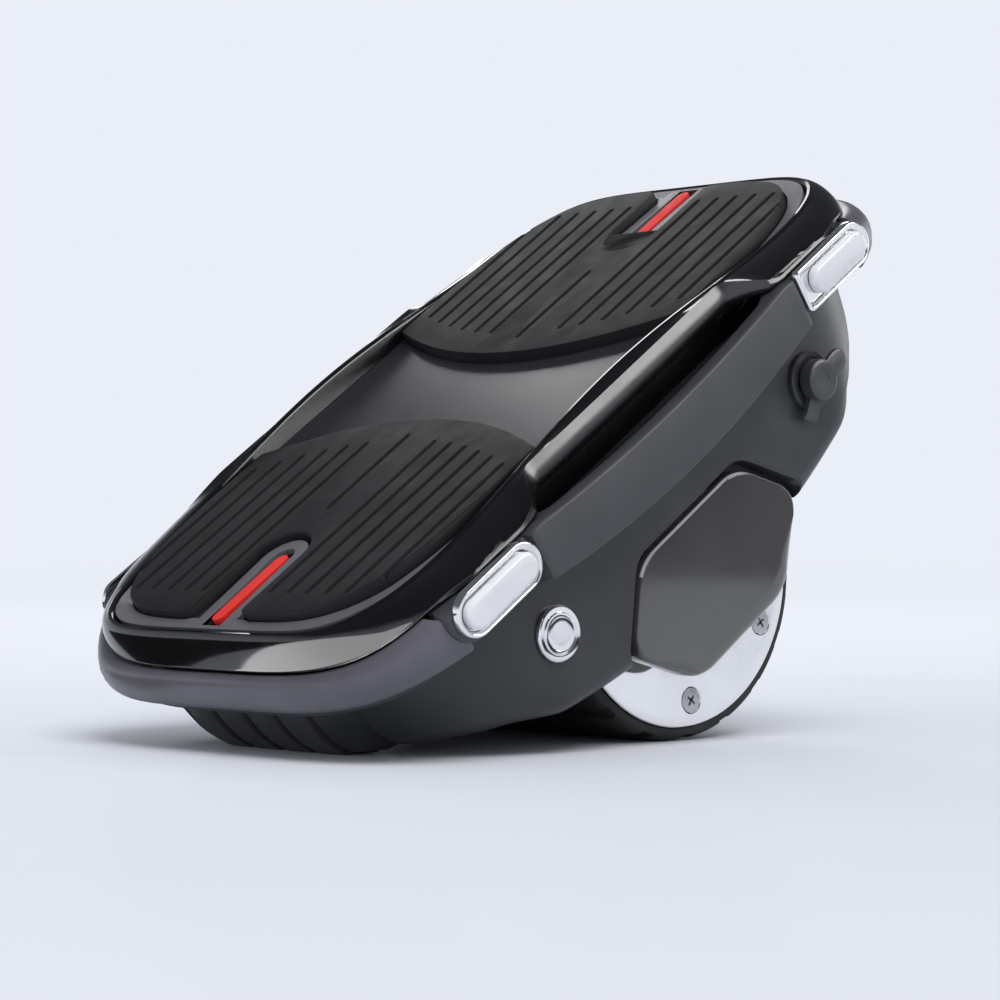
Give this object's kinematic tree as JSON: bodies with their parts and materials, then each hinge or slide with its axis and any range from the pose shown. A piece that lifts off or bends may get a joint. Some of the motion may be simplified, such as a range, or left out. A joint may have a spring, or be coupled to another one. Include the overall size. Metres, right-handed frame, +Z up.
{
  "type": "hover shoe",
  "caption": "Self-balancing hover shoe: a ribbed foot deck with end lights over a wide hub-motor wheel, parked tilted on its heel foot.",
  "frame": {"origin": "centre of the box's base, on the ground that the tyre and the heel foot stand on", "axes": "+X along the shoe towards the raised toe, +Y to the far side, +Z up; the deck is tilted 35.2 degrees, toe up"},
  "size_m": [0.2446, 0.1842, 0.1929],
  "materials": {
    "gloss_black": "polished moulding",
    "satin_grey": "satin",
    "pad_rubber": "fine matt grain",
    "marker_red": "semi-gloss",
    "smoke_lens": "smoky diffuser",
    "circuit_board": "solder mask",
    "matte_grey": "fine moulded texture",
    "bare_aluminium": "as folded",
    "steel": "machined",
    "bright_chrome": "polished",
    "tyre_rubber": "moulded rubber",
    "badge_white": "semi-gloss",
    "battery_wrap": "shrink wrap"
  },
  "bodies": {
    "body": {"deck_frame": "gloss_black", "trim_plate": "satin_grey", "heel_marker": "marker_red", "toe_marker": "marker_red", "heel_diffuser": "smoke_lens", "toe_diffuser": "smoke_lens", "heel_led_board": "circuit_board", "toe_led_board": "circuit_board", "lower_shell": "matte_grey", "near_rail": "matte_grey", "far_rail": "matte_grey", "heel_foot": "matte_grey", "toe_foot": "matte_grey", "near_axle_cover": "gloss_black", "far_axle_cover": "gloss_black", "chassis_bracket": "bare_aluminium", "axle": "steel", "near_axle_nut": "steel", "far_axle_nut": "steel", "near_bearing": "steel", "far_bearing": "steel", "stator": "steel", "heel_near_badge": "badge_white", "heel_far_badge": "badge_white", "toe_near_badge": "badge_white", "toe_far_badge": "badge_white", "heel_near_badge_bezel": "bright_chrome", "heel_far_badge_bezel": "bright_chrome", "toe_near_badge_bezel": "bright_chrome", "toe_far_badge_bezel": "bright_chrome", "button_bezel": "bright_chrome", "button_nut": "steel", "charge_socket": "matte_grey", "battery_pack": "battery_wrap", "control_board": "circuit_board", "heel_switch_board": "circuit_board", "toe_switch_board": "circuit_board"},
    "wheel": {"rotor_drum": "bright_chrome", "near_hub_cover": "bright_chrome", "magnet_ring": "steel", "tyre": "tyre_rubber", "hub_screw_1": "steel", "hub_screw_2": "steel", "hub_screw_3": "steel", "hub_screw_4": "steel", "hub_screw_5": "steel", "hub_screw_6": "steel"},
    "heel_foot_pad": {"heel_pad": "pad_rubber"},
    "toe_foot_pad": {"toe_pad": "pad_rubber"},
    "button": {"power_button": "bright_chrome"},
    "port_cap": {"dust_cap": "tyre_rubber"}
  },
  "joints": [
    {"name": "wheel_spin", "type": "hinge", "parent": "body", "child": "wheel", "pos_m": [0.03031, 0, 0.055], "axis": [0, 1, 0], "continuous": true},
    {"name": "heel_pad_press", "type": "slide", "parent": "body", "child": "heel_foot_pad", "axis": [0.5768, 0, -0.8169], "range_m": [0, 0.001], "stiffness_N_per_m": 9000},
    {"name": "toe_pad_press", "type": "slide", "parent": "body", "child": "toe_foot_pad", "axis": [0.5768, 0, -0.8169], "range_m": [0, 0.001], "stiffness_N_per_m": 9000},
    {"name": "power_button_press", "type": "slide", "parent": "body", "child": "button", "axis": [0, 1, 0], "range_m": [0, 0.002], "stiffness_N_per_m": 400},
    {"name": "dust_cap_swing", "type": "hinge", "parent": "body", "child": "port_cap", "pos_m": [0.06931, -0.0805, 0.10731], "axis": [0.9855, 0, -0.1697], "range_deg": [0, 110]}
  ]
}
